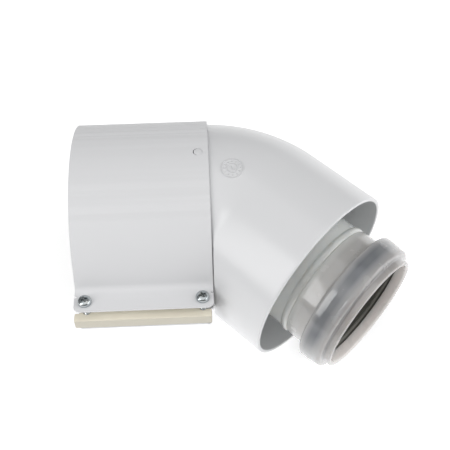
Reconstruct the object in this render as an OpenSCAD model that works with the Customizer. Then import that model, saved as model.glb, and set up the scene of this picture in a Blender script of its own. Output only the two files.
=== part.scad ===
// Flue elbow: a 45 degree coaxial bend for a 60/100 mm flue, with the clamp that joins it to the next duct.
// The outer duct carries air and the inner pipe carries flue gas.
// The elbow lies flat. The inlet leg runs along X, the outlet leg turns from it towards -Y, and +Z is
// the normal of the plane that holds both legs.
// Origin: the centre of the air duct's inlet face, on the axis that the duct and the flue spigot share.

/* [Air duct] */
// Outside diameter of the air duct
duct_d = 100; // [98:0.5:102]
// Wall thickness of the air duct
duct_wall = 2; // [1.6:0.1:2.4]
// Length of each duct leg, from its end face to the point where the two axes cross
duct_leg = 59; // [58.5:0.5:61]
// Radius of the bend's centre line
bend_r = 41; // [40.5:0.5:43]
// Angle that the bend turns through
bend_angle = 45; // [43:1:45]

/* [Flue pipe] */
// Outside diameter of the flue pipe
flue_d = 60; // [58:0.5:61]
// Wall thickness of the flue pipe
flue_wall = 2; // [1.6:0.1:2.4]
// How far the flue spigot stands out of the air duct's inlet face
spigot_out = 16; // [12:1:20]
// Distance from the crossing of the axes to the mouth of the flue socket
socket_reach = 91.2; // [90:0.2:96]
// How deep a spigot goes into the flue socket
socket_depth = 48; // [44:1:49]
// Radial room between a spigot and the socket's bore
socket_room = 0.6; // [0.4:0.1:0.8]

/* [Clamp] */
// Width of the clamp along the duct
clamp_w = 69; // [60:1:69]
// Thickness of the clamp's sheet steel
sheet = 0.85; // [0.7:0.05:1]
// Thickness of the sealing liner inside the clamp
liner_t = 0.88; // [0.6:0.02:1]
// Turn of the clamp's split away from -Y, towards +Z
split_tilt = 8; // [0:1:20]
// Distance of the ears' outer faces from the middle of the split
ear_face = 7.65; // [7:0.05:9]
// Distance of the ears' free edge from the duct axis
ear_top = 66.2; // [65:0.1:68]
// Distance of the screw axes from the duct axis
screw_u = 60.75; // [60.5:0.05:61.5]
// Distance of each screw axis from the clamp's near end
screw_inset = 5.4; // [5:0.1:8]

/* [Screws] */
// Thread diameter of the clamp screws
screw_d = 3.5; // [3.2:0.1:4]
// Length of a clamp screw under its head
screw_len = 20; // [19:0.5:22]
// Diameter of a screw head
head_d = 7; // [6.5:0.1:7.6]
// Height of a screw head
head_h = 2.7; // [2.4:0.1:3]

/* [Hidden] */
$fn = 96;
cut = 1;                                // how far a cutting tool runs past what it cuts
duct_r = duct_d / 2;
duct_in = duct_r - duct_wall;
flue_r = flue_d / 2;
flue_in = flue_r - flue_wall;
tangent = bend_r * tan(bend_angle / 2); // from the crossing of the axes to either end of the bend
bend_x = duct_leg - tangent;            // where the inlet leg ends and the bend starts

// Clamp, worked out from the duct inside it
clamp_gap = 0.6;                        // between the clamp's end and the shoulder on the bend
clamp_fit = 0.1;                        // radial room between the duct and the liner
clamp_x1 = 44.04;                       // clamp's end nearest the bend
clamp_x0 = clamp_x1 - clamp_w;
clamp_in = duct_r + clamp_fit + liner_t;
clamp_r = clamp_in + sheet;
leave_angle = 24;                       // where the band leaves the circle, either side of the split
root_r = 4.5;                           // outer radius of the bend from band to ear
ear_in = ear_face - sheet;
root_v = ear_face + root_r;
root_u = (clamp_r + root_r - root_v * sin(leave_angle)) / cos(leave_angle);
ear_corner = 3;
slot_r = 0.5;                           // relief slots by the roots of the ears
slot_in = 1.4;
slot_u = root_u + 1.2;

// The elbow is round under the clamp, and the outlet leg starts behind a shoulder just past it
seat_x = clamp_x1 + clamp_gap;

// Flue socket, along the outlet axis
socket_in = flue_r + socket_room;
socket_wall = 2;
socket_stop = socket_reach - socket_depth;
groove_r = 35;
groove_s0 = socket_reach - 14.8;
groove_s1 = socket_reach - 6;
seal_slack = 0.05;                      // between the seal and its groove
seal_tip_r = 30.4;                      // lips as a spigot presses them back

// Flue spigot, along the inlet axis
spigot_lead = 4;
stop_x = 31;                            // insertion stop, a bead round the pipe
stop_w = 3;
stop_h = 1.2;

// Centring spacers
spacer_w = 6;
spacer_ring = 1.75;
spacer_fin = 1.6;
spacer_slack = 0.05;
spacer_gap = 24;                        // width in degrees of the gap that lets a spacer snap on

// Bar between the clamp's ears
bar_v0 = 0.4;                           // its front face, measured from the middle of the split
bar_v1 = ear_in - 0.02;
bar_top = ear_top + 0.2;
bar_rail = 61.5;                        // the full-length rail starts here, the shorter web is below it
bar_web = 56.6;
bar_shift = -0.95;                      // it sits a little towards the inlet
bar_len = clamp_w - 0.2;
bar_step = 2.6;
bar_edge = 0.8;
hole_r = screw_d / 2 + 0.25;
nut_flats = 6;
nut_h = 2.8;
thread_fit = 0.05;
head_lift = 0.02;

// Points of an arc about (cx, cy) from angle a0 to a1
function arc(cx, cy, r, a0, a1, n = 5) =
    [for (i = [0:n]) let (a = a0 + (a1 - a0) * i / n) [cx + r * cos(a), cy + r * sin(a)]];

// Puts a part drawn along local Z on the inlet axis
module on_inlet() {
    rotate([0, 90, 0]) children();
}

// Puts a part drawn along local Z on the outlet axis, with zero where the axes cross
module on_outlet() {
    translate([bend_x, -bend_r, 0])
        rotate([0, 0, -bend_angle])
            translate([-tangent, bend_r, 0]) rotate([0, 90, 0]) children();
}

// Sweeps a 2D section, drawn round the centre line, through the bend
module through_bend() {
    translate([bend_x, -bend_r, 0])
        rotate([0, 0, 90 - bend_angle])
            rotate_extrude(angle = bend_angle) translate([bend_r, 0]) children();
}

// Puts a part drawn in the clamp's own frame in place: local X runs out through the split, Y across
// the ears, and Z along the duct
module in_clamp() {
    rotate([-90 - split_tilt, 0, 0]) rotate([0, 90, 0]) children();
}

// Round bar that follows the duct through the bend, run on by past at both ends. It is plain and
// straight up to x, so that the outlet leg starts behind a shoulder there.
module duct_core(r, x, past) {
    on_inlet() translate([0, 0, -past]) cylinder(r = r, h = x + past);
    intersection() {
        union() {
            through_bend() intersection() {
                circle(r = r);
                translate([-bend_r, -duct_d]) square([2 * duct_d, 2 * duct_d]);
            }
            on_outlet() translate([0, 0, tangent]) cylinder(r = r, h = duct_leg - tangent + past);
        }
        translate([x, -2 * duct_d, -duct_d]) cube([3 * duct_d, 4 * duct_d, 2 * duct_d]);
    }
}

module outer_elbow() {
    color("white") difference() {
        duct_core(duct_r, seat_x, 0);
        duct_core(duct_in, seat_x + duct_wall, cut);
    }
}

// Flue pipe's inlet leg, filled in: lead-in, plain spigot and insertion stop
module spigot_outside() {
    on_inlet() rotate_extrude() polygon(concat(
        [[0, -spigot_out], [flue_r - 0.9, -spigot_out], [flue_r, spigot_lead - spigot_out],
         [flue_r, stop_x]],
        arc(flue_r, stop_x + stop_w / 2, stop_h, -90, 90, 8),
        [[flue_r, stop_x + stop_w], [flue_r, bend_x], [0, bend_x]]));
}

// Flue pipe's outlet leg, filled in: pipe, socket, bead, seal bulge and lip
module socket_outside() {
    body_r = socket_in + socket_wall;
    neck_r = body_r - 0.6;
    bead_s = socket_reach - 30.2;
    bulge_r = groove_r + 2.1;
    front_r = bulge_r - 0.7;
    lip_r = body_r + 0.2;
    round_r = 1.3;
    on_outlet() rotate_extrude() polygon(concat(
        [[0, tangent], [flue_r, tangent], [flue_r, socket_stop - 4], [neck_r, socket_stop]],
        arc(neck_r - 0.3, bead_s, 1.8, -80, 80, 8),
        [[body_r, bead_s + 1.9]],
        arc(body_r + round_r, groove_s0 - 2 - round_r, round_r, 180, 90, 4),
        arc(bulge_r - round_r, groove_s0 - 2 + round_r, round_r, -90, 0, 4),
        arc(front_r - round_r, groove_s1 + 1.9 - round_r, round_r, 0, 80, 4),
        arc(lip_r + 0.8, groove_s1 + 3.1, 0.8, 250, 180, 3),
        arc(lip_r - 0.9, socket_reach - 0.9, 0.9, 0, 90, 4),
        [[0, socket_reach]]));
}

// What is hollow in the flue pipe's outlet leg: pipe, socket, seal groove and mouth
module socket_inside() {
    mouth_r = socket_in + 0.7;
    on_outlet() rotate_extrude() polygon(
        [[0, tangent], [flue_in, tangent], [flue_in, socket_stop], [socket_in, socket_stop],
         [socket_in, groove_s0], [groove_r, groove_s0], [groove_r, groove_s1], [socket_in, groove_s1],
         [socket_in, socket_reach - 0.9], [mouth_r, socket_reach],
         [mouth_r, socket_reach + cut], [0, socket_reach + cut]]);
}

// The bend is a little wider than the legs, inside and outside
module inner_elbow() {
    bend_step = 0.15;
    color([0.8, 0.82, 0.83, 0.8]) difference() {
        union() {
            spigot_outside();
            through_bend() circle(r = flue_r + bend_step);
            socket_outside();
        }
        on_inlet() translate([0, 0, -spigot_out - cut])
            cylinder(r = flue_in, h = spigot_out + cut + bend_x);
        through_bend() circle(r = flue_in + bend_step);
        socket_inside();
    }
}

// Snap-on ring with four fins that holds the flue pipe in the middle of the duct
module spacer() {
    ring_in = flue_r + spacer_slack;
    fin_r = duct_in - spacer_slack;
    foot_w = 7;
    foot_h = 1.4;
    gap_w = duct_r * tan(spacer_gap / 2);
    linear_extrude(spacer_w) difference() {
        union() {
            circle(r = ring_in + spacer_ring);
            for (a = [45:90:315]) rotate(a) intersection() {
                union() {
                    translate([0, -spacer_fin / 2]) square([fin_r - foot_h / 2, spacer_fin]);
                    translate([fin_r - foot_h, -foot_w / 2]) square([2 * foot_h, foot_w]);
                }
                circle(r = fin_r);
            }
        }
        circle(r = ring_in);
        polygon([[0, 0], [duct_r, -gap_w], [duct_r, gap_w]]);
    }
}

module inlet_spacer() {
    color("gainsboro") on_inlet() translate([0, 0, bend_x - spacer_w - 0.8]) spacer();
}

module outlet_spacer() {
    color("gainsboro") on_outlet() translate([0, 0, tangent + 9]) spacer();
}

// Rubber ring with two lips in the socket's groove
module socket_seal() {
    back = groove_s0 + seal_slack;
    front = groove_s1 - seal_slack;
    rim = groove_r - seal_slack;
    color([0.12, 0.12, 0.13]) on_outlet() rotate_extrude() polygon(
        [[rim, back], [rim, front], [rim - 1.6, front], [seal_tip_r, front - 1.2],
         [seal_tip_r, front - 2.4], [rim - 2.2, front - 2.6], [rim - 2.2, back + 3.4],
         [seal_tip_r, back + 2.6], [seal_tip_r, back + 1.2], [rim - 1.6, back]]);
}

// Outline of the clamp, moved inwards by g and run past the ears' free edge by past
module clamp_outline(g, past) {
    r = clamp_r - g;
    arc_r = root_r + g;
    leave = [r * cos(leave_angle), r * sin(leave_angle)];
    start = [root_u - arc_r * cos(leave_angle), root_v - arc_r * sin(leave_angle)];
    circle(r = r);
    difference() {
        polygon([[0, 0], [leave.x, -leave.y], [start.x, -start.y], [root_u, -root_v],
                 [root_u, g - ear_face], [ear_top + past, g - ear_face],
                 [ear_top + past, ear_face - g], [root_u, ear_face - g],
                 [root_u, root_v], start, leave]);
        for (side = [-1, 1]) translate([root_u, side * root_v]) circle(r = arc_r);
    }
}

// Cuts the square corner off both ears at the end nearest the bend, in the clamp's frame
module ear_corner_cut() {
    translate([ear_top - ear_corner, -ear_face - cut, clamp_x1 - ear_corner]) difference() {
        cube([ear_corner + cut, 2 * (ear_face + cut), ear_corner + cut]);
        translate([0, -cut, 0]) rotate([-90, 0, 0])
            cylinder(r = ear_corner, h = 2 * (ear_face + 2 * cut));
    }
}

// Relief slot by the root of both ears, at the end nearest the bend
module root_slot() {
    for (side = [-1, 1])
        translate([slot_u, side * (ear_face - 1), clamp_x1]) {
            translate([-slot_r, -2.5, -slot_in + slot_r]) cube([2 * slot_r, 5, slot_in + cut]);
            translate([0, -2.5, -slot_in + slot_r]) rotate([-90, 0, 0]) cylinder(r = slot_r, h = 5);
        }
}

// Sets the rear ear back as far as its slot is deep, at the end nearest the bend
module rear_ear_end() {
    translate([slot_u, ear_face - 1.5 * sheet, clamp_x1 - slot_in])
        cube([ear_top - slot_u + cut, 2 * sheet, slot_in + cut]);
}

// Repeats a part at both ends of the clamp
module both_ends() {
    children();
    translate([0, 0, clamp_x0 + clamp_x1]) mirror([0, 0, 1]) children();
}

// Runs a cylinder along each screw axis, through ears and bar
module screw_holes(r) {
    both_ends() translate([screw_u, -2 * ear_face, clamp_x1 - screw_inset])
        rotate([-90, 0, 0]) cylinder(r = r, h = 4 * ear_face);
}

module clamp_band() {
    dimple_from_split = 87;
    dimple_inset = 5.3;
    dimple_r = 2.4;
    dimple_depth = 0.4;
    color("whitesmoke") in_clamp() {
        difference() {
            translate([0, 0, clamp_x0]) linear_extrude(clamp_w) difference() {
                clamp_outline(0, 0);
                clamp_outline(sheet, cut);
            }
            both_ends() {
                ear_corner_cut();
                root_slot();
            }
            rear_ear_end();
            screw_holes(hole_r);
            rotate([0, 0, -dimple_from_split]) translate([clamp_r - dimple_depth, 0, clamp_x1 - dimple_inset])
                rotate([0, 90, 0]) cylinder(r = dimple_r, h = 2 * dimple_depth);
        }
    }
}

// Sealing strip glued inside the band, open at the split
module clamp_liner() {
    liner_inset = 4.5;
    liner_gap = leave_angle - 2;
    reach = 2 * duct_r;
    color([0.3, 0.3, 0.31]) in_clamp()
        translate([0, 0, clamp_x0 + liner_inset]) linear_extrude(clamp_w - 2 * liner_inset) difference() {
            circle(r = clamp_in);
            circle(r = clamp_in - liner_t);
            polygon([[0, 0], [reach, -reach * tan(liner_gap)], [reach, reach * tan(liner_gap)]]);
        }
}

// Length of bar from u0 to u1, with the edges of its outer face rounded where edge > 0
module bar_length(u0, u1, edge, inset) {
    mid = (clamp_x0 + clamp_x1) / 2 + bar_shift;
    len = bar_len - 2 * inset;
    translate([0, 0, mid - len / 2]) linear_extrude(len) polygon(concat(
        [[u0, bar_v1], [u0, bar_v0]],
        edge > 0 ? arc(u1 - edge, bar_v0 + edge, edge, -90, 0) : [[u1, bar_v0]],
        edge > 0 ? arc(u1 - edge, bar_v1 - edge, edge, 0, 90) : [[u1, bar_v1]]));
}

module ear_bar() {
    color([0.93, 0.9, 0.8]) in_clamp() difference() {
        union() {
            bar_length(bar_rail, bar_top, bar_edge, 0);
            bar_length(bar_web, bar_rail, 0, bar_step);
        }
        screw_holes(hole_r);
    }
}

// Pan head screw drawn along local Z, with the head's seat at zero and the shank below it
module pan_screw() {
    side_h = head_h * 0.45;
    crown_r = head_d * 0.2;
    recess_w = 0.9;
    recess_l = head_d * 0.55;
    recess_h = 1.5;
    difference() {
        rotate_extrude() polygon(concat(
            [[0, -screw_len], [screw_d / 2 - 0.5, -screw_len], [screw_d / 2 - thread_fit, 0.5 - screw_len],
             [screw_d / 2 - thread_fit, 0], [head_d / 2, 0], [head_d / 2, side_h]],
            [for (i = [1:5]) let (a = i * 15) [crown_r + (head_d / 2 - crown_r) * cos(a),
                                              side_h + (head_h - side_h) * sin(a)]],
            [[crown_r, head_h], [0, head_h]]));
        for (a = [0, 90]) rotate([0, 0, a])
            translate([-recess_l / 2, -recess_w / 2, head_h - recess_h])
                cube([recess_l, recess_w, recess_h + cut]);
    }
}

// Puts a part on a screw axis: zero is the front ear's outer face and local Z points out of it
module on_screw(x) {
    in_clamp() translate([screw_u, -ear_face, x]) rotate([90, 0, 0]) children();
}

module clamp_screw(x) {
    color("silver") on_screw(x) translate([0, 0, head_lift]) pan_screw();
}

module clamp_nut(x) {
    color("silver") on_screw(x) translate([0, 0, -2 * ear_face - nut_h]) difference() {
        cylinder(d = nut_flats / cos(30), h = nut_h, $fn = 6);
        translate([0, 0, -cut]) cylinder(r = screw_d / 2, h = nut_h + 2 * cut);
    }
}

module inlet_screw() {
    clamp_screw(clamp_x0 + screw_inset);
}

module bend_screw() {
    clamp_screw(clamp_x1 - screw_inset);
}

module inlet_nut() {
    clamp_nut(clamp_x0 + screw_inset);
}

module bend_nut() {
    clamp_nut(clamp_x1 - screw_inset);
}

outer_elbow();
inner_elbow();
inlet_spacer();
outlet_spacer();
socket_seal();
clamp_band();
clamp_liner();
ear_bar();
inlet_screw();
bend_screw();
inlet_nut();
bend_nut();
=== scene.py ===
import math

import bmesh
import bpy
import numpy as np
from mathutils import Matrix, Vector


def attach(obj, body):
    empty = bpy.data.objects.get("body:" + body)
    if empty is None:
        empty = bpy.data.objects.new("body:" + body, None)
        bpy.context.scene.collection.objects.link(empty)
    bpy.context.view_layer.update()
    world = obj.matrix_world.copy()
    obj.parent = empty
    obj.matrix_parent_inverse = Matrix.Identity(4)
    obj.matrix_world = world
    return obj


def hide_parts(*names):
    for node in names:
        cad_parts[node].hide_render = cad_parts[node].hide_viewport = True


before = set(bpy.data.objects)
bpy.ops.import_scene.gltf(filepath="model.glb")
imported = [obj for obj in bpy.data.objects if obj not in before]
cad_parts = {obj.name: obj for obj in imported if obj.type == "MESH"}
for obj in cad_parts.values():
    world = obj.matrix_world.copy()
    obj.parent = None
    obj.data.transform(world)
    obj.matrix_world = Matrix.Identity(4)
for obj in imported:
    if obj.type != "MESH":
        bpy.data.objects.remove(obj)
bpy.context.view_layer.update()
MM = 0.001

# ---------------------------------------------------------------- sizes, in mm, as in part.scad
DUCT_R, DUCT_WALL, DUCT_LEG = 50.0, 2.0, 59.0
DUCT_IN = DUCT_R - DUCT_WALL
BEND_R, BEND = 41.0, math.radians(45)
TANGENT = BEND_R * math.tan(BEND / 2)
BEND_X = DUCT_LEG - TANGENT
FLUE_R, FLUE_IN, SPIGOT_OUT, BEND_STEP = 30.0, 28.0, 16.0, 0.15
SOCKET_REACH, SOCKET_DEPTH, SOCKET_IN, SOCKET_WALL = 91.2, 48.0, 30.6, 2.0
GROOVE_R, GROOVE_0, GROOVE_1 = 35.0, 76.4, 85.2
CLAMP_0, CLAMP_1, CLAMP_R, SHEET, LINER = -24.96, 44.04, 51.83, 0.85, 0.88
SEAT_X = CLAMP_1 + 0.6
TILT, LEAVE = math.radians(8), math.radians(24)
EAR_FACE, EAR_TOP, EAR_CORNER, ROOT_R = 7.65, 66.2, 3.0, 4.5
ROOT_V = EAR_FACE + ROOT_R
ROOT_U = (CLAMP_R + ROOT_R - ROOT_V * math.sin(LEAVE)) / math.cos(LEAVE)
SLOT_U, SLOT_R, SLOT_IN = ROOT_U + 1.2, 0.5, 1.4
DISC_HOLE_R, DISC_FROM_SPLIT, DISC_INSET = 2.4, math.radians(87), 5.3
SCREW_U, SCREW_INSET, SCREW_R, SCREW_LEN = 60.75, 5.4, 1.7, 20.0
HEAD_R, HEAD_H, NUT_FLATS, NUT_H = 3.5, 2.7, 6.0, 2.8
BAR_V0, BAR_V1, BAR_TOP, BAR_RAIL, BAR_WEB = 0.4, 6.78, 66.4, 61.5, 56.6
BAR_MID, BAR_LEN, BAR_STEP, HOLE_R = 8.59, 68.8, 2.6, 2.0
SCREW_INLET_X, SCREW_BEND_X = CLAMP_0 + SCREW_INSET, CLAMP_1 - SCREW_INSET
PAST = 1.0                          # how far a cutting tool runs past what it cuts


# ---------------------------------------------------------------- frames that parts are drawn in
def axes(x, y, z, origin=(0, 0, 0)):
    """Matrix of a frame, from its three directions and its origin."""
    matrix = Matrix.Identity(4)
    for column, v in enumerate((x, y, z, origin)):
        for row in range(3):
            matrix[row][column] = v[row]
    return matrix


WORLD = Matrix.Identity(4)
IN = axes((0, 0, -1), (0, 1, 0), (1, 0, 0))
OUT_DIR = Vector((math.cos(BEND), -math.sin(BEND), 0))
OUT_SIDE = Vector((math.sin(BEND), math.cos(BEND), 0))
OUT = axes((0, 0, -1), OUT_SIDE, OUT_DIR, (DUCT_LEG, 0, 0))
# The clamp's frame: U runs out through its split, V across the ears, and Z along the duct
U = Vector((0, -math.cos(TILT), math.sin(TILT)))
V = Vector((0, -math.sin(TILT), -math.cos(TILT)))
CLAMP = axes(U, V, (1, 0, 0))
# For outlines drawn in the clamp's (U, Z) and run along V
PLAN = CLAMP @ Matrix(((1, 0, 0, 0), (0, 0, 1, 0), (0, 1, 0, 0), (0, 0, 0, 1)))


def on_screw(x):
    """Frame of a screw: zero on the front ear's outer face, Z out of it."""
    origin = CLAMP @ Vector((SCREW_U, -EAR_FACE, x))
    return axes(U, Vector((1, 0, 0)), -V, origin)


# ---------------------------------------------------------------- shapes, as (points in mm, faces)
def grid(rows, wrap_rows, wrap_cols):
    """Quads over a list of rows of the same number of points."""
    n, m = len(rows), len(rows[0])
    faces = []
    for i in range(n if wrap_rows else n - 1):
        for k in range(m if wrap_cols else m - 1):
            faces.append((i * m + k, i * m + (k + 1) % m, ((i + 1) % n) * m + (k + 1) % m,
                          ((i + 1) % n) * m + k))
    return [p for r in rows for p in r], faces


def ring(r, z, seg):
    return [(r * math.cos(2 * math.pi * k / seg), r * math.sin(2 * math.pi * k / seg), z)
            for k in range(seg)]


def circle(r, seg):
    return [(x, y) for x, y, _ in ring(r, 0, seg)]


def rounded(points, default=0.3, n=4):
    """A closed outline of (r, z) or (r, z, radius) with each corner rounded by its radius."""
    out = []
    count = len(points)
    for i, p in enumerate(points):
        before, corner, after = (Vector(points[(i + k) % count][:2]) for k in (-1, 0, 1))
        wanted = p[2] if len(p) > 2 else default
        edge0, edge1 = before - corner, after - corner
        if wanted <= 0 or edge0.length < 1e-6 or edge1.length < 1e-6:
            out.append(tuple(corner))
            continue
        dir0, dir1 = edge0.normalized(), edge1.normalized()
        angle = math.acos(max(-1, min(1, dir0.dot(dir1))))
        if angle > math.radians(176) or angle < math.radians(4):
            out.append(tuple(corner))
            continue
        reach = min(wanted / math.tan(angle / 2), edge0.length * 0.48, edge1.length * 0.48)
        r = reach * math.tan(angle / 2)
        centre = corner + (dir0 + dir1).normalized() * (r / math.sin(angle / 2))
        a0 = math.atan2(*(corner + dir0 * reach - centre).yx)
        a1 = math.atan2(*(corner + dir1 * reach - centre).yx)
        turn = (a1 - a0 + math.pi) % (2 * math.pi) - math.pi
        for k in range(n + 1):
            t = a0 + turn * k / n
            out.append((centre.x + r * math.cos(t), centre.y + r * math.sin(t)))
    return out


def lathe(outline, seg=128, a0=0.0, a1=2 * math.pi):
    """A closed (r, z) outline turned about Z. A part turn gets end faces."""
    whole = a1 - a0 > 2 * math.pi - 1e-6
    count = seg if whole else seg + 1
    rows = [[(r * math.cos(a0 + (a1 - a0) * k / seg), r * math.sin(a0 + (a1 - a0) * k / seg), z)
             for r, z in outline] for k in range(count)]
    points, faces = grid(rows, whole, True)
    if not whole:
        m = len(outline)
        faces.append(tuple(range(m)))
        faces.append(tuple(range((count - 1) * m, count * m)))
    return points, faces


def prism(outline, z0, z1):
    """Closed solid of an outline drawn in XY, from z0 to z1."""
    n = len(outline)
    points = [(x, y, z0) for x, y in outline] + [(x, y, z1) for x, y in outline]
    faces = [tuple(range(n)), tuple(range(n, 2 * n))]
    faces += [(i, (i + 1) % n, n + (i + 1) % n, n + i) for i in range(n)]
    return points, faces


# ---------------------------------------------------------------- objects
def face_outward(mesh):
    bm = bmesh.new()
    bm.from_mesh(mesh)
    bmesh.ops.recalc_face_normals(bm, faces=bm.faces)
    bm.to_mesh(mesh)
    bm.free()


def solid(shape, matrix):
    """An object of a shape that is drawn in the frame of the matrix."""
    points, faces = shape
    mesh = bpy.data.meshes.new("tmp")
    mesh.from_pydata([tuple((matrix @ Vector(p)) * MM) for p in points], [], faces)
    face_outward(mesh)
    obj = bpy.data.objects.new("tmp", mesh)
    bpy.context.scene.collection.objects.link(obj)
    return obj


def baked(obj, kind, **settings):
    """Applies one modifier."""
    modifier = obj.modifiers.new(kind, kind)
    for key, value in settings.items():
        setattr(modifier, key, value)
    graph = bpy.context.evaluated_depsgraph_get()
    mesh = bpy.data.meshes.new_from_object(obj.evaluated_get(graph))
    obj.modifiers.clear()
    obj.data = mesh


def bevelled(obj, width, segments, angle):
    baked(obj, "BEVEL", width=width * MM, segments=segments, limit_method="ANGLE",
          angle_limit=math.radians(angle))


def cut(obj, *tools, operation="DIFFERENCE"):
    for tool in tools:
        baked(obj, "BOOLEAN", operation=operation, object=tool, solver="EXACT")
        bpy.data.objects.remove(tool)


def piece(name, obj, body, slot, *materials, smooth=35):
    """Finishes an object as a named piece that rides on a body."""
    obj.name = name
    obj.data.name = name
    mesh = obj.data
    face_outward(mesh)
    mesh.materials.clear()
    for material in materials:
        mesh.materials.append(material)
    for polygon in mesh.polygons:
        polygon.use_smooth = True
    mesh.set_sharp_from_angle(angle=math.radians(smooth))
    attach(obj, body)
    return obj


# ---------------------------------------------------------------- materials
class Nodes:
    """A material whose look comes from procedural nodes."""

    def __init__(self, name):
        self.material = bpy.data.materials.new(name)
        self.material.use_nodes = True
        self.tree = self.material.node_tree
        self.bsdf = self.tree.nodes["Principled BSDF"]
        self.coord = self.add("ShaderNodeTexCoord").outputs["Object"]

    def add(self, kind, **values):
        node = self.tree.nodes.new(kind)
        for key, value in values.items():
            if key in node.inputs:
                node.inputs[key].default_value = value
            else:
                setattr(node, key, value)
        return node

    def join(self, output, socket):
        self.tree.links.new(output, socket)

    def colour(self, output):
        self.join(output, self.bsdf.inputs["Base Color"])

    def roughness(self, output):
        self.join(output, self.bsdf.inputs["Roughness"])

    def bumpy(self, height, strength, distance):
        node = self.add("ShaderNodeBump", Strength=strength, Distance=distance)
        self.join(height, node.inputs["Height"])
        self.join(node.outputs["Normal"], self.bsdf.inputs["Normal"])

    def constant(self, **values):
        for key, value in values.items():
            self.bsdf.inputs[key.replace("_", " ")].default_value = value

    def noise(self, scale, detail=3.0, rough=0.5, stretch=None):
        node = self.add("ShaderNodeTexNoise", Scale=scale, Detail=detail, Roughness=rough)
        source = self.coord
        if stretch:
            mapping = self.add("ShaderNodeMapping", Scale=stretch)
            self.join(source, mapping.inputs["Vector"])
            source = mapping.outputs["Vector"]
        self.join(source, node.inputs["Vector"])
        return node.outputs["Fac"]

    def ramp(self, fac, stops):
        node = self.add("ShaderNodeValToRGB")
        while len(node.color_ramp.elements) < len(stops):
            node.color_ramp.elements.new(0.5)
        for element, (position, colour) in zip(node.color_ramp.elements, stops):
            element.position = position
            element.color = (*colour, 1)
        self.join(fac, node.inputs["Fac"])
        return node.outputs["Color"]

    def spread(self, value, low, high, start=0.35, stop=0.65):
        """Maps start to stop of a value onto low to high, and clamps outside that."""
        node = self.add("ShaderNodeMapRange")
        for key, v in (("From Min", start), ("From Max", stop), ("To Min", low), ("To Max", high)):
            node.inputs[key].default_value = v
        self.join(value, node.inputs["Value"])
        return node.outputs["Result"]

    def mix(self, fac, a, b):
        node = self.add("ShaderNodeMix", data_type="RGBA")
        self.join(fac, node.inputs["Factor"])
        self.join(a, node.inputs["A"])
        self.join(b, node.inputs["B"])
        return node.outputs["Result"]

    def times(self, a, b):
        node = self.add("ShaderNodeMath", operation="MULTIPLY")
        self.join(a, node.inputs[0])
        self.join(b, node.inputs[1])
        return node.outputs["Value"]

    def along(self, direction):
        """Distance along a direction, in metres."""
        node = self.add("ShaderNodeVectorMath", operation="DOT_PRODUCT")
        self.join(self.coord, node.inputs[0])
        node.inputs[1].default_value = tuple(direction)
        return node.outputs["Value"]


def white_material(name, light=1.0):
    """Smooth white. A light factor under 1 darkens the colour as painted shade, which makes a moulded mark
    stand out a little.
    """
    m = Nodes(name)
    low = [light * v for v in (0.736, 0.741, 0.752)]
    high = [light * v for v in (0.742, 0.746, 0.757)]
    m.colour(m.ramp(m.noise(60.0, 2.0), [(0.2, low), (0.8, high)]))
    m.roughness(m.spread(m.noise(22.0, 3.0), 0.28, 0.31))
    m.bumpy(m.noise(900.0, 2.0), 0.05, 0.00005)
    m.constant(Coat_Weight=0.25, Coat_Roughness=0.22, Specular_IOR_Level=0.5)
    return m.material


def clamp_material():
    m = Nodes("clamp_white")
    m.colour(m.ramp(m.noise(70.0, 3.0), [(0.2, (0.739, 0.742, 0.754)), (0.8, (0.747, 0.75, 0.761))]))
    m.roughness(m.spread(m.noise(60.0, 3.0, 0.5, (0.4, 1.0, 1.0)), 0.44, 0.46))
    m.bumpy(m.noise(650.0, 3.0), 0.1, 0.00008)
    m.constant(Specular_IOR_Level=0.45)
    return m.material


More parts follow.
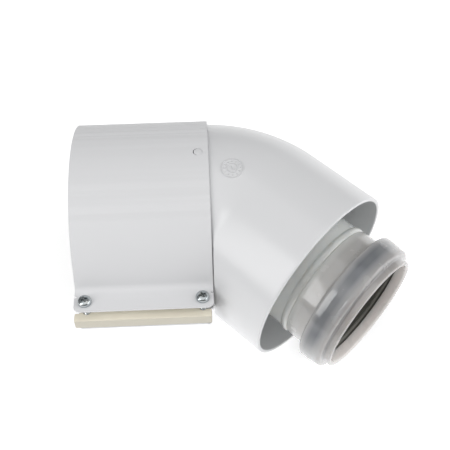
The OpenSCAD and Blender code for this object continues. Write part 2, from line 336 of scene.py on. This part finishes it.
def flue_material():
    """Milky plastic. The dark seal shows through the wall as a soft band round the socket. Painted light
    makes the pipe inside the duct much lighter, painted shade makes the front and lip a little darker, and
    a painted sheen fades the band where the socket turns away.
    """
    m = Nodes("flue_pp")
    # Painted light: the pipe inside the duct gets a much lighter colour than the socket, to lift the shade
    # inside the duct.
    pipe = m.ramp(m.noise(35.0, 4.0), [(0.2, (0.70, 0.725, 0.705)), (0.8, (0.75, 0.775, 0.755))])
    milk = m.ramp(m.noise(35.0, 4.0), [(0.2, (0.405, 0.405, 0.402)), (0.8, (0.43, 0.43, 0.427))])
    # Painted shade: the socket's front and lip get a darker, warmer copy of the milk colour, to hold down
    # the light that glows through there.
    painted_shade_lip = m.ramp(m.noise(35.0, 4.0), [(0.2, (0.345, 0.337, 0.337)), (0.8, (0.37, 0.362, 0.362))])
    shade = m.ramp(m.noise(28.0, 3.0), [(0.25, (0.085, 0.095, 0.115)), (0.75, (0.145, 0.155, 0.175))])

    reach = m.along(OUT_DIR)
    zero = DUCT_LEG * math.cos(BEND)

    def between(s0, s1):
        """Rises from 0 to 1 between two places on the outlet axis."""
        return m.spread(reach, 0.0, 1.0, (s0 + zero) * MM, (s1 + zero) * MM)

    # Here the painted light of the pipe gives way to the socket's own colour.
    socket = between(SOCKET_REACH - 32, SOCKET_REACH - 24)
    # Here the painted shade of the front and lip begins.
    front = between(GROOVE_1 - 2, GROOVE_1 + 1)
    milky = m.mix(front, m.mix(socket, pipe, milk), painted_shade_lip)

    band = m.ramp(between(GROOVE_0 - 2, GROOVE_1 + 2),
                  [(0.0, (0, 0, 0)), (0.3, (1, 1, 1)), (0.55, (1, 1, 1)), (0.85, (0, 0, 0))])
    # Painted sheen: the dark band is strongest on the side that faces up and towards the inside of the
    # bend, and fades where the socket turns away from it.
    sheen_free_side = Vector((-0.302, -0.302, 0.904))
    axis_offset = sheen_free_side.x * DUCT_LEG     # of the outlet axis, along that direction
    painted_sheen_fade = m.spread(m.along(sheen_free_side), 0.3, 1.0, (0.35 * GROOVE_R + axis_offset) * MM,
                       (0.8 * GROOVE_R + axis_offset) * MM)
    patches = m.spread(m.noise(32.0, 2.0), 0.6, 1.0, 0.38, 0.6)
    m.colour(m.mix(m.times(band, m.times(painted_sheen_fade, patches)), milky, shade))
    m.roughness(m.spread(m.noise(120.0, 4.0), 0.2, 0.28))
    m.bumpy(m.noise(90.0, 3.0), 0.05, 0.0002)
    m.constant(Coat_Weight=0.65, Coat_Roughness=0.06, Subsurface_Weight=0.8, Subsurface_Scale=0.006,
               Subsurface_Radius=(1.0, 0.9, 0.8))
    return m.material


def mouth_material():
    """Painted light: the inside of the socket's mouth is much lighter and a little warmer than the outside,
    for the light that reaches it through the thin wall.
    """
    m = Nodes("flue_pp_mouth")
    m.colour(m.ramp(m.noise(45.0, 4.0), [(0.2, (0.72, 0.685, 0.665)), (0.8, (0.76, 0.725, 0.705))]))
    m.roughness(m.spread(m.noise(120.0, 4.0), 0.25, 0.34))
    m.bumpy(m.noise(90.0, 3.0), 0.05, 0.0002)
    m.constant(Subsurface_Weight=0.6, Subsurface_Scale=0.006, Subsurface_Radius=(1.0, 0.93, 0.9))
    return m.material


def spacer_material():
    m = Nodes("spacer_pp")
    m.colour(m.ramp(m.noise(60.0, 4.0), [(0.3, (0.52, 0.535, 0.55)), (0.7, (0.58, 0.59, 0.6))]))
    m.roughness(m.spread(m.noise(150.0), 0.42, 0.55))
    m.bumpy(m.noise(900.0), 0.1, 0.00005)
    return m.material


def rubber_material():
    m = Nodes("seal_rubber")
    m.colour(m.ramp(m.noise(90.0, 5.0), [(0.3, (0.15, 0.146, 0.128)), (0.7, (0.19, 0.185, 0.163))]))
    m.roughness(m.spread(m.noise(200.0, 4.0), 0.42, 0.6))
    m.bumpy(m.noise(1400.0, 3.0), 0.25, 0.00006)
    return m.material


def liner_material():
    """Foam rubber with small open cells."""
    m = Nodes("liner_rubber")
    cells = m.add("ShaderNodeTexVoronoi", Scale=1400.0)
    m.join(m.coord, cells.inputs["Vector"])
    m.colour(m.ramp(m.noise(300.0, 4.0), [(0.3, (0.035, 0.035, 0.037)), (0.7, (0.065, 0.065, 0.068))]))
    m.bumpy(cells.outputs["Distance"], 0.5, 0.00015)
    m.constant(Roughness=0.9)
    return m.material


def bar_material():
    """Cream plastic with faint streaks along it. Painted light and shade: the top is much lighter than the
    side below it, from how light falls on the bar.
    """
    m = Nodes("bar_cream")
    streak = m.noise(40.0, 5.0, 0.6, (0.35, 1.0, 1.0))
    # Painted light on the top and painted shade down the side.
    top = m.ramp(streak, [(0.3, (0.92, 0.86, 0.705)), (0.7, (0.96, 0.90, 0.75))])
    side = m.ramp(streak, [(0.3, (0.60, 0.565, 0.475)), (0.7, (0.65, 0.615, 0.52))])
    painted_light_to_shade = m.spread(m.along(V), 0.0, 1.0, (BAR_V0 - 0.1) * MM, (BAR_V0 + 0.6) * MM)
    m.colour(m.mix(painted_light_to_shade, top, side))
    m.roughness(m.spread(m.noise(150.0, 4.0), 0.36, 0.48))
    m.bumpy(m.noise(1100.0, 2.0), 0.1, 0.00005)
    return m.material


def zinc_material():
    m = Nodes("zinc")
    m.colour(m.ramp(m.noise(400.0, 4.0), [(0.3, (0.42, 0.46, 0.48)), (0.55, (0.52, 0.55, 0.56)),
                                          (0.8, (0.60, 0.60, 0.58))]))
    m.roughness(m.spread(m.noise(900.0, 5.0), 0.16, 0.3))
    m.bumpy(m.noise(2500.0, 3.0), 0.2, 0.00003)
    m.constant(Metallic=1.0)
    return m.material


def floor_material():
    m = Nodes("floor_white")
    m.colour(m.ramp(m.noise(3.0), [(0.3, (0.93, 0.93, 0.93)), (0.7, (0.95, 0.95, 0.95))]))
    m.constant(Roughness=0.9, Specular_IOR_Level=0.1, Emission_Strength=0.4,
               Emission_Color=(1, 1, 1, 1))
    return m.material


# ---------------------------------------------------------------- air duct
def duct_skin(r, seat_x, phi, start, stop):
    """Points along the duct at section angle phi, from start on the inlet leg to stop on the outlet
    leg. The outlet leg begins behind a flat seat at seat_x."""
    c, s = math.cos(phi), math.sin(phi)
    step_min, seat_edge, seat_rise = 1.2, 0.5, 0.15
    rho = BEND_R + r * c
    reach = seat_x - BEND_X
    if rho * math.sin(BEND) > reach:
        u0 = (math.asin(reach / rho) - BEND) * BEND_R
    else:
        u0 = (seat_x - DUCT_LEG) / math.sin(BEND) - r * c - TANGENT

    def at(u):
        """Point u past the bend's end, or in the bend where u is negative."""
        if u < 0:
            t = BEND + u / BEND_R
            return (BEND_X + rho * math.sin(t), -BEND_R + rho * math.cos(t), r * s)
        along = TANGENT + u
        side = r * c * math.sin(BEND)
        return (DUCT_LEG + along * math.cos(BEND) + side, -along * math.sin(BEND) + side, r * s)

    points = [(x, r * c, r * s) for x in np.linspace(start, seat_x, 12)]
    _, y, z = at(u0)
    across = math.hypot(y, z)
    if across - r > step_min:
        inner = 1 - seat_edge / across
        middle = (inner + 1) / 2
        points += [(seat_x, y * inner, z * inner), (seat_x + seat_rise, y * middle, z * middle)]
        u0 += seat_edge
    else:
        points += [points[-1], points[-1]]
    return points + [at(u) for u in np.linspace(u0, stop - TANGENT, 44)]


def duct_rim(sign):
    """Rounded rim from the outside to the inside, as (radius, distance past the end)."""
    outer, inner = 0.6, 0.5
    quarter = [math.radians(90 * i / 5) for i in range(6)]
    rim = [(DUCT_R - outer + outer * math.cos(t), sign * outer * (math.sin(t) - 1)) for t in quarter]
    return rim + [(DUCT_IN + inner - inner * math.sin(t), sign * inner * (math.cos(t) - 1))
                  for t in quarter]


def duct():
    seg = 256
    rows = []
    for k in range(seg):
        phi = 2 * math.pi * k / seg
        c, s = math.cos(phi), math.sin(phi)

        def at_out(r, z):
            along = DUCT_LEG + z
            side = r * c * math.sin(BEND)
            return (DUCT_LEG + along * math.cos(BEND) + side, -along * math.sin(BEND) + side, r * s)

        outside = duct_skin(DUCT_R, SEAT_X, phi, 0.6, DUCT_LEG - 0.6)
        inside = duct_skin(DUCT_IN, SEAT_X + DUCT_WALL, phi, 0.5, DUCT_LEG - 0.5)
        in_rim = [(z, r * c, r * s) for r, z in duct_rim(-1)]
        out_rim = [at_out(r, z) for r, z in duct_rim(1)]
        rows.append(in_rim[::-1] + outside[1:-1] + out_rim + inside[::-1][1:-1])
    obj = piece("duct_shell", solid(grid(rows, True, True), WORLD), "elbow", "duct_white",
                white_material("duct_white"), smooth=30)
    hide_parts("outer_elbow")


def duct_height(x, y):
    """Height of the duct's skin over (x, y), for the top of the bend."""
    if x < BEND_X:
        off = y
    elif math.atan2(x - BEND_X, y + BEND_R) < BEND:
        off = math.hypot(x - BEND_X, y + BEND_R) - BEND_R
    else:
        off = Vector((x - DUCT_LEG, y, 0)).dot(OUT_SIDE)
    return math.sqrt(max(DUCT_R * DUCT_R - off * off, 0))


def raised_ring(x, y, r, half, height):
    """Raised ring on the duct round (x, y)."""
    outline = [(r - half, -0.1), (r - half * 0.6, height * 0.75), (r - half * 0.2, height),
               (r + half * 0.2, height), (r + half * 0.6, height * 0.75), (r + half, -0.1)]
    rows = []
    seg = 96
    for k in range(seg):
        c, s = math.cos(2 * math.pi * k / seg), math.sin(2 * math.pi * k / seg)
        rows.append([(x + q * c, y + q * s, duct_height(x + q * c, y + q * s) + h) for q, h in outline])
    return grid(rows, True, False)


def raised_rib(start, stop, width0, width1, height):
    """Raised rib on the duct between two points, with its ends and sides sunk in."""
    along = stop - start
    side = Vector((-along.y, along.x)).normalized()
    steps = 6
    rows = []
    for i in range(steps + 1):
        t = i / steps
        half = (width0 + (width1 - width0) * t) / 2
        row = []
        for k in (-1, -0.6, 0.6, 1):
            p = start + along * t + side * half * k
            h = height if 0 < i < steps and abs(k) < 1 else -0.1
            row.append((p.x, p.y, duct_height(p.x, p.y) + h))
        rows.append(row)
    return grid(rows, False, False)


def dial():
    """Moulded date dial: two raised rings, ticks and a pointer, with no lettering."""
    x, y = 55.73, -5.22
    centre = Vector((x, y))

    def at(r, degrees):
        return centre + Vector((math.cos(math.radians(degrees)), math.sin(math.radians(degrees)))) * r

    shapes = [raised_ring(x, y, 5.5, 0.34, 0.5), raised_ring(x, y, 2.6, 0.3, 0.45)]
    shapes += [raised_rib(at(3.5, a), at(4.5, a), 0.45, 0.45, 0.4) for a in range(0, 360, 30)]
    shapes.append(raised_rib(at(-1.6, 118), at(1.7, 118), 1.0, 0.35, 0.55))
    points, faces = [], []
    for more_points, more_faces in shapes:
        first = len(points)
        points += more_points
        faces += [tuple(i + first for i in face) for face in more_faces]
    # Painted shade: the dial's white is a little darker, for the shade in its relief lines.
    piece("duct_dial", solid((points, faces), WORLD), "elbow", "duct_white",
          white_material("duct_white_dial_painted_shade", 0.93), smooth=40)


# ---------------------------------------------------------------- flue pipe
def section(centre, side, r, seg):
    """Ring of points round the flue pipe's axis, starting from the given side."""
    return [tuple(centre + side * x + Vector((0, 0, y))) for x, y in circle(r, seg)]


def outlet_outline():
    """Outside and inside of the pipe on the outlet axis, from the bend to the mouth and back."""
    body_r = SOCKET_IN + SOCKET_WALL
    neck_r = body_r - 0.6
    bead = SOCKET_REACH - 30.2
    bulge_r, lip_r = GROOVE_R + 2.1, body_r + 0.2
    front_r = bulge_r - 0.7
    stop = SOCKET_REACH - SOCKET_DEPTH
    outline = [(FLUE_R, TANGENT, 0), (FLUE_R, stop - 4, 1.5), (neck_r, stop, 1.5),
               (neck_r, bead - 2.3, 0.6)]
    outline += [(neck_r - 1.0 + 1.9 * math.sin(math.radians(t)),
                 bead - 2.2 * math.cos(math.radians(t)), 0) for t in range(35, 146, 10)]
    outline += [(body_r, bead + 2.4, 0.5), (body_r, GROOVE_0 - 2, 1.4), (bulge_r, GROOVE_0 - 2, 1.4),
                (bulge_r - 0.05, GROOVE_0 + 2.5, 1.0), (front_r, GROOVE_1 - 1.0, 2.0),
                (front_r, GROOVE_1 + 1.9, 1.5), (lip_r, GROOVE_1 + 2.3, 0.8),
                (lip_r, SOCKET_REACH, 0.9), (SOCKET_IN + 0.5, SOCKET_REACH, 0.5),
                (SOCKET_IN, SOCKET_REACH - 1.0, 0.4)]
    outline += [(SOCKET_IN, GROOVE_1, 0.3), (GROOVE_R, GROOVE_1, 0.5), (GROOVE_R, GROOVE_0, 0.5),
                (SOCKET_IN, GROOVE_0, 0.3)]
    outline += [(SOCKET_IN, stop, 0.4), (FLUE_IN, stop, 0.3), (FLUE_IN, TANGENT, 0)]
    return rounded(outline)


def inlet_outline():
    """Inside and outside of the pipe on the inlet axis, from the bend to the spigot and back."""
    outline = [(FLUE_IN, BEND_X, 0), (FLUE_IN, -SPIGOT_OUT, 0.4)]
    outline += [(FLUE_R - 0.9, -SPIGOT_OUT, 0.5), (FLUE_R, 4 - SPIGOT_OUT, 1.0), (FLUE_R, 31, 0.2)]
    outline += [(FLUE_R + 1.2 * math.sin(math.radians(t)), 32.5 - 1.5 * math.cos(math.radians(t)), 0)
                for t in range(20, 161, 20)]
    outline += [(FLUE_R, 34, 0.2), (FLUE_R, BEND_X, 0)]
    return rounded(outline)


def flue():
    seg, steps = 160, 16
    axes_cross, bend_centre = Vector((DUCT_LEG, 0, 0)), Vector((BEND_X, -BEND_R, 0))

    def in_bend(a, r):
        side = Vector((math.sin(a), math.cos(a), 0))
        return section(bend_centre + side * BEND_R, side, r, seg)

    outlet, inlet = outlet_outline(), inlet_outline()
    turn = [BEND * k / steps for k in range(1, steps)]
    rings = [section(axes_cross + OUT_DIR * s, OUT_SIDE, r, seg) for r, s in outlet]
    rings += [in_bend(a, FLUE_IN + BEND_STEP) for a in reversed(turn)]
    rings += [section(Vector((x, 0, 0)), Vector((0, 1, 0)), r, seg) for r, x in inlet]
    rings += [in_bend(a, FLUE_R + BEND_STEP) for a in turn]
    obj = piece("flue_pipe", solid(grid(rings, True, True), WORLD), "elbow", "flue_pp",
                flue_material(), mouth_material(), smooth=40)
    # The mouth's inside faces get the painted light material.
    mouth = {i for i, (r, s) in enumerate(outlet) if s > GROOVE_1 and r < SOCKET_IN + 0.7}
    for polygon in obj.data.polygons:
        i = polygon.index // seg
        if i in mouth and i + 1 in mouth:
            polygon.material_index = 1
    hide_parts("inner_elbow")


def seal():
    rim, back, front, tip = GROOVE_R - 0.05, GROOVE_0 + 0.05, GROOVE_1 - 0.05, 30.36
    outline = rounded([(rim, back, 0.5), (rim, front, 0.5), (rim - 1.6, front, 0.4),
                       (tip, front - 1.2, 0.3), (tip, front - 2.4, 0.3), (rim - 2.2, front - 2.6, 0.5),
                       (rim - 2.2, back + 3.4, 0.5), (tip, back + 2.6, 0.3), (tip, back + 1.2, 0.3),
                       (rim - 1.6, back, 0.4)])
    obj = piece("flue_seal", solid(lathe(outline, 160), OUT), "elbow", "seal_rubber",
                rubber_material(), smooth=40)
    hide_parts("socket_seal")


def spacer(name, node, frame_matrix, z0, material):
    """Snap-on ring, open at one side, with four fins that end in a foot against the duct."""
    ring_in, ring_out = FLUE_R + 0.05, FLUE_R + 1.8
    fin_r, half, width, steps = DUCT_IN - 0.05, 0.8, 6.0, 120
    foot, foot_r, fillet = 3.5, DUCT_IN - 0.05 - 1.4, 0.8
    gap = math.radians(12)
    matrix = frame_matrix @ Matrix.Translation((0, 0, z0))
    arc = [gap + (2 * math.pi - 2 * gap) * k / steps for k in range(steps + 1)]
    outline = [(ring_out * math.cos(a), ring_out * math.sin(a)) for a in arc]
    outline += [(ring_in * math.cos(a), ring_in * math.sin(a)) for a in reversed(arc)]
    obj = solid(prism(outline, 0, width), matrix)
    fin = [(ring_in + 0.6, -half), (foot_r - fillet, -half), (foot_r, -half - fillet), (foot_r, -foot)]
    fin += [(fin_r * math.cos(t), fin_r * math.sin(t)) for t in np.linspace(-foot / fin_r, foot / fin_r, 9)]
    fin += [(foot_r, foot), (foot_r, half + fillet), (foot_r - fillet, half), (ring_in + 0.6, half)]
    for a in (45, 135, 225, 315):
        turned = matrix @ Matrix.Rotation(math.radians(a), 4, "Z")
        cut(obj, solid(prism(fin, 0, width), turned), operation="UNION")
    bevelled(obj, 0.3, 2, 50)
    piece(name, obj, "elbow", "spacer_pp", material, smooth=40)
    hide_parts(node)


# ---------------------------------------------------------------- clamp
def clamp_outline():
    """Outline of the bent sheet in the clamp's frame."""
    half = [((CLAMP_R * math.cos(a), CLAMP_R * math.sin(a)), (math.cos(a), math.sin(a)))
            for a in np.linspace(math.pi, LEAVE, 180)]
    for a in np.linspace(LEAVE + math.pi, 1.5 * math.pi, 9):
        c, s = math.cos(a), math.sin(a)
        half.append(((ROOT_U + ROOT_R * c, ROOT_V + ROOT_R * s), (-c, -s)))
    half += [((u, EAR_FACE), (0, 1)) for u in (ROOT_U + 0.9, EAR_TOP)]
    whole = half[::-1] + [((x, -y), (nx, -ny)) for (x, y), (nx, ny) in half[1:]]
    outer = [p for p, _ in whole]
    inner = [(p[0] - n[0] * SHEET, p[1] - n[1] * SHEET) for p, n in whole]
    return outer + inner[::-1]


def screw_hole(x):
    """Cutting tool along a screw's axis, through ears and bar."""
    matrix = CLAMP @ Matrix.Translation((SCREW_U, -20, x)) @ Matrix.Rotation(math.radians(-90), 4, "X")
    return solid(prism(circle(HOLE_R, 32), 0, 40), matrix)


def ear_corner(end, sign):
    """Cutting tool that rounds the corner of both ears at one end of the clamp."""
    r = EAR_CORNER
    outline = [(EAR_TOP + PAST, end - sign * PAST), (EAR_TOP + PAST, end + sign * r),
               (EAR_TOP, end + sign * r)]
    outline += [(EAR_TOP - r + r * math.cos(t), end + sign * (r - r * math.sin(t)))
                for t in np.linspace(0, math.pi / 2, 9)[1:-1]]
    outline += [(EAR_TOP - r, end), (EAR_TOP - r, end - sign * PAST)]
    return solid(prism(outline, -20, 20), PLAN)


def root_slots(end, sign):
    """Cutting tools for the relief slots by the roots of both ears, at one end of the clamp."""
    straight = SLOT_IN - SLOT_R
    outline = [(SLOT_U - SLOT_R, end - sign * PAST), (SLOT_U - SLOT_R, end + sign * straight)]
    outline += [(SLOT_U - SLOT_R * math.cos(t), end + sign * (straight + SLOT_R * math.sin(t)))
                for t in np.linspace(0, math.pi, 9)[1:-1]]
    outline += [(SLOT_U + SLOT_R, end + sign * straight), (SLOT_U + SLOT_R, end - sign * PAST)]
    return [solid(prism(outline, v, v + 5), PLAN) for v in (EAR_FACE - 3.5, -EAR_FACE - 1.5)]


def rear_ear_end():
    """Cutting tool that sets the rear ear back, at the end nearest the bend."""
    outline = [(SLOT_U, CLAMP_1 - SLOT_IN), (EAR_TOP + PAST, CLAMP_1 - SLOT_IN),
               (EAR_TOP + PAST, CLAMP_1 + PAST), (SLOT_U, CLAMP_1 + PAST)]
    return solid(prism(outline, EAR_FACE - 1.5 * SHEET, EAR_FACE + 0.5 * SHEET), PLAN)


def clamp():
    at_disc = CLAMP @ Matrix.Rotation(-DISC_FROM_SPLIT, 4, "Z") \
        @ Matrix.Translation((CLAMP_R, 0, CLAMP_1 - DISC_INSET)) @ Matrix.Rotation(math.radians(90), 4, "Y")
    obj = solid(prism(clamp_outline(), CLAMP_0, CLAMP_1), CLAMP)
    cut(obj, rear_ear_end(), screw_hole(SCREW_INLET_X), screw_hole(SCREW_BEND_X))
    for end, sign in ((CLAMP_0, 1), (CLAMP_1, -1)):
        cut(obj, ear_corner(end, sign), *root_slots(end, sign))
    cut(obj, solid(prism(circle(DISC_HOLE_R, 40), -2, 2), at_disc))
    bevelled(obj, 0.22, 3, 40)
    piece("clamp_sheet", obj, "clamp", "clamp_white", clamp_material())
    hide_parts("clamp_band")

    # The disc sits a little off the middle of its hole, so that a thin dark gap shows on one side
    disc = rounded([(0.01, -0.08, 0), (2.2, -0.16, 0.3), (2.2, -0.95, 0), (0.01, -0.95, 0)])
    off_middle = at_disc @ Matrix.Translation((-0.18, -0.1, 0))
    piece("clamp_pip", solid(lathe(disc, 40), off_middle), "clamp", "clamp_white",
          white_material("clamp_white_pip"), smooth=50)


def liner():
    r0, r1, inset = CLAMP_R - SHEET - LINER, CLAMP_R - SHEET, 4.5
    outline = rounded([(r0, CLAMP_0 + inset), (r1, CLAMP_0 + inset), (r1, CLAMP_1 - inset),
                       (r0, CLAMP_1 - inset)], 0.25)
    gap = math.radians(22)
    obj = piece("clamp_gasket", solid(lathe(outline, 180, gap, 2 * math.pi - gap), CLAMP), "clamp",
                "liner_rubber", liner_material(), smooth=40)
    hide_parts("clamp_liner")


def bar():
    a0, a1 = BAR_MID - BAR_LEN / 2, BAR_MID + BAR_LEN / 2
    b0, b1 = a0 + BAR_STEP, a1 - BAR_STEP
    outline = [(BAR_TOP, a0), (BAR_TOP, a1), (BAR_RAIL, a1), (BAR_RAIL, b1), (BAR_WEB, b1),
               (BAR_WEB, b0), (BAR_RAIL, b0), (BAR_RAIL, a0)]
    obj = solid(prism(outline, BAR_V0, BAR_V1), PLAN)
    bevelled(obj, 0.7, 5, 40)
    cut(obj, screw_hole(SCREW_INLET_X), screw_hole(SCREW_BEND_X))
    piece("clamp_bar", obj, "clamp", "bar_cream", bar_material())
    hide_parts("ear_bar")


# ---------------------------------------------------------------- screws and nuts
def thread_rows(z0, z1, seg):
    """Rings of a threaded shank from z0 up to z1, tapered at the lower end."""
    pitch, depth, taper, run_out, per_turn = 0.7, 0.42, 1.0, 0.4, 8
    rows = []
    steps = int((z1 - z0) / pitch * per_turn)
    for i in range(steps + 1):
        z = z0 + (z1 - z0) * i / steps
        fade = min(1.0, (z - z0) / taper, max(0.0, (z1 - z) / run_out))
        row = []
        for k in range(seg):
            crest = 1 - abs(2 * ((z / pitch - k / seg) % 1) - 1)
            r = SCREW_R - depth + depth * min(1, crest * 1.4) * fade
            a = 2 * math.pi * k / seg
            row.append((r * math.cos(a), r * math.sin(a), z))
        rows.append(row)
    return rows


def cross_arm():
    """One arm of the cross recess, wider at the top than at the bottom."""
    top, low = HEAD_H + 0.3, HEAD_H - 1.15
    points = []
    for x, y, z in ((2.05, 0.52, top), (1.0, 0.3, low)):
        points += [(-x, -y, z), (x, -y, z), (x, y, z), (-x, y, z)]
    return points, [(0, 1, 2, 3), (4, 5, 6, 7), (0, 1, 5, 4), (1, 2, 6, 5), (2, 3, 7, 6), (3, 0, 4, 7)]


def screw(name, node, body, x, material):
    seg, point_r, root_r, lift, crown = 32, 1e-4, SCREW_R - 0.42, 0.02, 1.2
    matrix = on_screw(x) @ Matrix.Translation((0, 0, lift))
    head = [(root_r, 0.0), (root_r, 0.02), (HEAD_R - 0.25, 0.02), (HEAD_R - 0.07, 0.09),
            (HEAD_R, 0.28), (HEAD_R, 0.85), (HEAD_R - 0.06, 1.2)]
    head += [(crown + (HEAD_R - 0.1 - crown) * math.cos(math.radians(t)),
              1.25 + 1.45 * math.sin(math.radians(t))) for t in range(10, 90, 10)]
    head += [(crown, HEAD_H), (point_r, HEAD_H)]
    rows = [ring(point_r, -SCREW_LEN, seg)] + thread_rows(-SCREW_LEN, -0.2, seg)
    rows += [ring(r, z, seg) for r, z in head]
    points, faces = grid(rows, False, True)
    faces += [tuple(range(seg)), tuple(range(len(points) - seg, len(points)))]
    obj = solid((points, faces), matrix)
    for a in (25, 115):
        cut(obj, solid(cross_arm(), matrix @ Matrix.Rotation(math.radians(a), 4, "Z")))
    piece(name, obj, body, "zinc", material, smooth=38)
    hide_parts(node)


def nut(name, node, x, material):
    seg, flat, bore = 72, NUT_FLATS / 2, SCREW_R + 0.06

    def hexagon(height):
        """Ring of the nut's six sides, at a height that depends on how far out each point is."""
        points = []
        for k in range(seg):
            a = 2 * math.pi * k / seg
            r = flat / math.cos((a + math.pi / 6) % (math.pi / 3) - math.pi / 6)
            points.append((r * math.cos(a), r * math.sin(a), height(max(0.0, r - flat * 0.97) * 0.55)))
        return points

    rows = [ring(bore, NUT_H - 0.45, seg), ring(bore + 0.4, NUT_H, seg), ring(flat * 0.95, NUT_H, seg),
            hexagon(lambda drop: NUT_H - drop), hexagon(lambda drop: drop),
            ring(flat * 0.95, 0.0, seg), ring(bore + 0.4, 0.0, seg), ring(bore, 0.45, seg)]
    matrix = on_screw(x) @ Matrix.Translation((0, 0, -2 * EAR_FACE - NUT_H))
    obj = piece(name, solid(grid(rows, True, True), matrix), "clamp", "zinc", material, smooth=28)
    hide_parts(node)


duct()
dial()
flue()
seal()
spacer_plastic = spacer_material()
spacer("spacer_inlet", "inlet_spacer", IN, BEND_X - 6.8, spacer_plastic)
spacer("spacer_outlet", "outlet_spacer", OUT, TANGENT + 9, spacer_plastic)
clamp()
liner()
bar()
zinc = zinc_material()
screw("screw_inlet", "inlet_screw", "inlet_screw", SCREW_INLET_X, zinc)
screw("screw_bend", "bend_screw", "bend_screw", SCREW_BEND_X, zinc)
nut("nut_inlet", "inlet_nut", SCREW_INLET_X, zinc)
nut("nut_bend", "bend_nut", SCREW_BEND_X, zinc)


# ---------------------------------------------------------------- floor, light and camera
def floor():
    half, z = 30, -0.0521
    mesh = bpy.data.meshes.new("floor")
    mesh.from_pydata([(-half, -half, z), (half, -half, z), (half, half, z), (-half, half, z)], [],
                     [(0, 1, 2, 3)])
    mesh.materials.append(floor_material())
    obj = bpy.data.objects.new("floor", mesh)
    bpy.context.scene.collection.objects.link(obj)


def daylight():
    world = bpy.data.worlds.new("studio")
    bpy.context.scene.world = world
    world.use_nodes = True
    background = world.node_tree.nodes["Background"]
    background.inputs["Color"].default_value = (1, 1, 1, 1)
    background.inputs["Strength"].default_value = 0.225


def lamp(name, place, size, power):
    """Soft rectangular lamp, turned towards the middle of the object."""
    target = Vector((0.045, -0.02, 0.0))
    data = bpy.data.lights.new(name, "AREA")
    data.shape = "RECTANGLE"
    data.size, data.size_y = size
    data.energy = power
    obj = bpy.data.objects.new(name, data)
    obj.location = place
    obj.rotation_mode = "QUATERNION"
    obj.rotation_quaternion = (target - Vector(place)).to_track_quat("-Z", "Y")
    bpy.context.scene.collection.objects.link(obj)


def camera():
    data = bpy.data.cameras.new("camera")
    data.sensor_width = 36
    data.lens = 61.36
    data.clip_start, data.clip_end = 0.01, 20
    obj = bpy.data.objects.new("camera", data)
    forward = Vector((0.024, 0.5391, -0.8419)).normalized()
    right = Vector((0.999, -0.0444, 0)).normalized()
    obj.matrix_world = axes(right, right.cross(forward), -forward, (0.0419, -0.2339, 0.3549))
    bpy.context.scene.collection.objects.link(obj)
    bpy.context.scene.camera = obj


floor()
daylight()
lamp("left", (-0.66, -0.4, 0.6), (0.3, 0.85), 3.6)
lamp("over", (0.0, -0.1, 1.4), (1.6, 1.6), 7.4)
lamp("side", (1.2, -0.2, 0.6), (1.2, 1.2), 9.3)
camera()
bpy.context.scene.view_settings.view_transform = "Standard"
